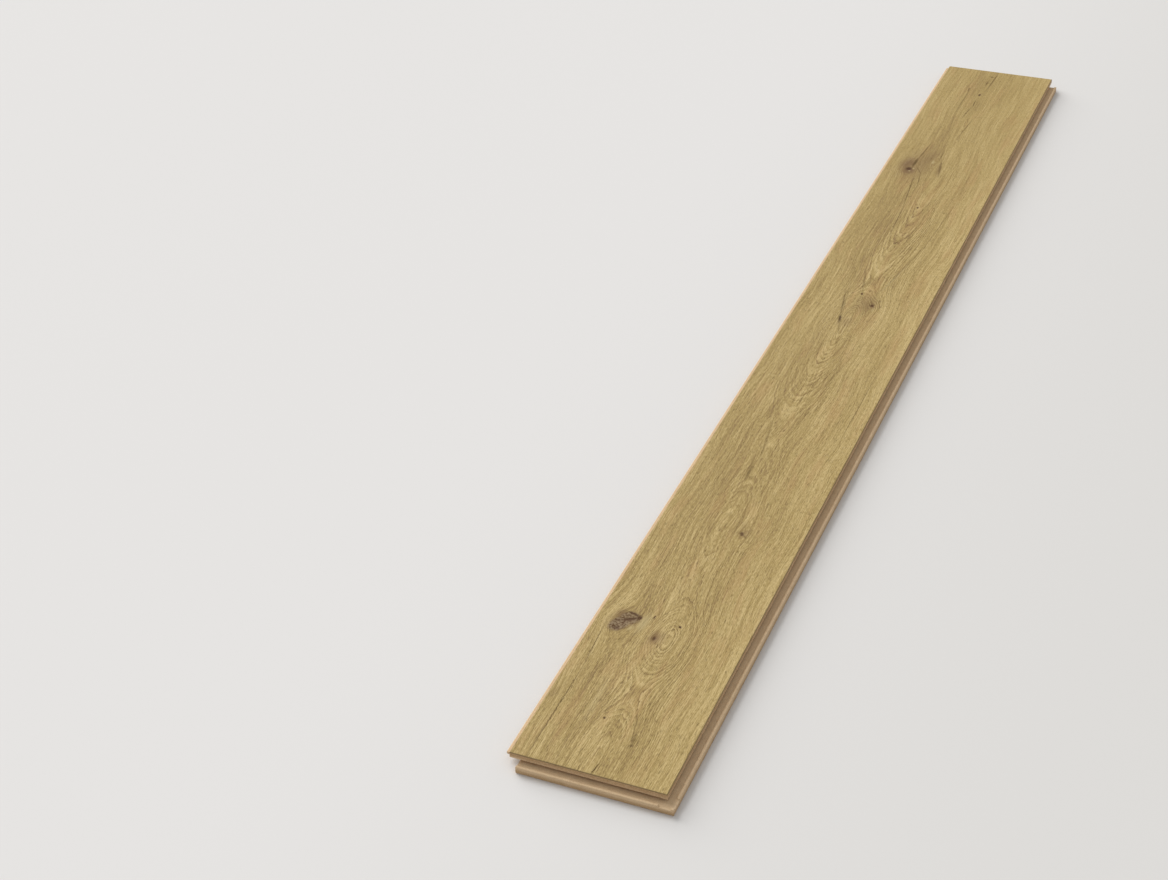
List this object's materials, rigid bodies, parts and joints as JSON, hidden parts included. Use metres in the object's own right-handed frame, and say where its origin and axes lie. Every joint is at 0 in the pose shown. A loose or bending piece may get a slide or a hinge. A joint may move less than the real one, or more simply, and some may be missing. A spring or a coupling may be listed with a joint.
{
  "type": "laminate floor plank",
  "caption": "Long narrow laminate floor plank with an oak decor face and glueless click edges: groove with locking lip on the right side and front end, tongue on the left side and back end.",
  "frame": {"origin": "middle of the overall box, on the plane of the underside", "axes": "+Z out of the decor face; +Y along the length, from the groove end to the tongue end; +X across the width, towards the side with the locking lip"},
  "size_m": [0.1372, 1.2972, 0.012],
  "materials": {
    "oak_decor_board": "matte"
  },
  "bodies": {
    "root": {"plank": "oak_decor_board"}
  },
  "joints": []
}
